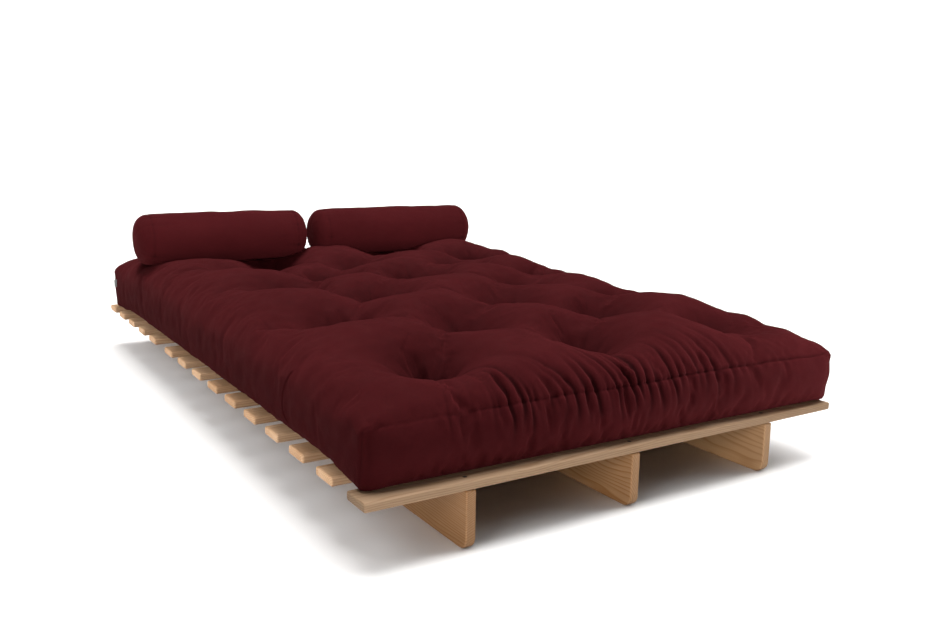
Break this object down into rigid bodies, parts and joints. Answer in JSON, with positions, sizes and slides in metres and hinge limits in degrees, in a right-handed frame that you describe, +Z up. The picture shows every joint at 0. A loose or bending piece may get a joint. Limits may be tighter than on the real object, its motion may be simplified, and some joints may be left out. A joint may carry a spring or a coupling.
{
  "type": "futon sofa bed",
  "caption": "Low slatted wooden bed base on edge-standing planks with a tufted futon mattress and round bolsters; the head section turns up to make a sofa back.",
  "frame": {"origin": "on the floor, at the middle of the bed's width and length", "axes": "+Y from the foot to the head, +X to the right seen from the foot, +Z up"},
  "size_m": [1.2, 2, 0.4736],
  "materials": {
    "slat_pine": "matte",
    "plank_pine": "matte",
    "mattress_fabric": "matte",
    "bolster_fabric": "matte",
    "zinc_steel": "satin",
    "label_cloth": "matte"
  },
  "bodies": {
    "seat_frame": {"front_board": "slat_pine", "seat_slat_1": "slat_pine", "seat_slat_2": "slat_pine", "seat_slat_3": "slat_pine", "seat_slat_4": "slat_pine", "seat_slat_5": "slat_pine", "seat_slat_6": "slat_pine", "seat_slat_7": "slat_pine", "seat_slat_8": "slat_pine", "seat_slat_9": "slat_pine", "seat_plank_left": "plank_pine", "seat_plank_centre": "plank_pine", "seat_plank_right": "plank_pine", "front_board_screw_left": "zinc_steel", "front_board_screw_centre": "zinc_steel", "front_board_screw_right": "zinc_steel", "hinge_seat_leaf_left": "zinc_steel", "hinge_seat_leaf_centre": "zinc_steel", "hinge_seat_leaf_right": "zinc_steel", "hinge_pin_left": "zinc_steel", "hinge_pin_centre": "zinc_steel", "hinge_pin_right": "zinc_steel", "mattress_seat": "mattress_fabric"},
    "back_frame": {"back_slat_1": "slat_pine", "back_slat_2": "slat_pine", "back_slat_3": "slat_pine", "back_slat_4": "slat_pine", "back_slat_5": "slat_pine", "back_plank_left": "plank_pine", "back_plank_centre": "plank_pine", "back_plank_right": "plank_pine", "hinge_back_leaf_left": "zinc_steel", "hinge_back_leaf_centre": "zinc_steel", "hinge_back_leaf_right": "zinc_steel", "mattress_back": "mattress_fabric", "label_tab": "label_cloth"},
    "bolster_left": {"bolster_left": "bolster_fabric"},
    "bolster_right": {"bolster_right": "bolster_fabric"}
  },
  "joints": [
    {"name": "back_recline", "type": "hinge", "parent": "seat_frame", "child": "back_frame", "pos_m": [0, 0.33643, 0.098], "axis": [1, 0, 0], "range_deg": [0, 70]},
    {"name": "bolster_left_lift", "type": "slide", "parent": "back_frame", "child": "bolster_left", "axis": [0, 0, 1], "range_m": [0, 0.3]},
    {"name": "bolster_right_lift", "type": "slide", "parent": "back_frame", "child": "bolster_right", "axis": [0, 0, 1], "range_m": [0, 0.3]}
  ]
}
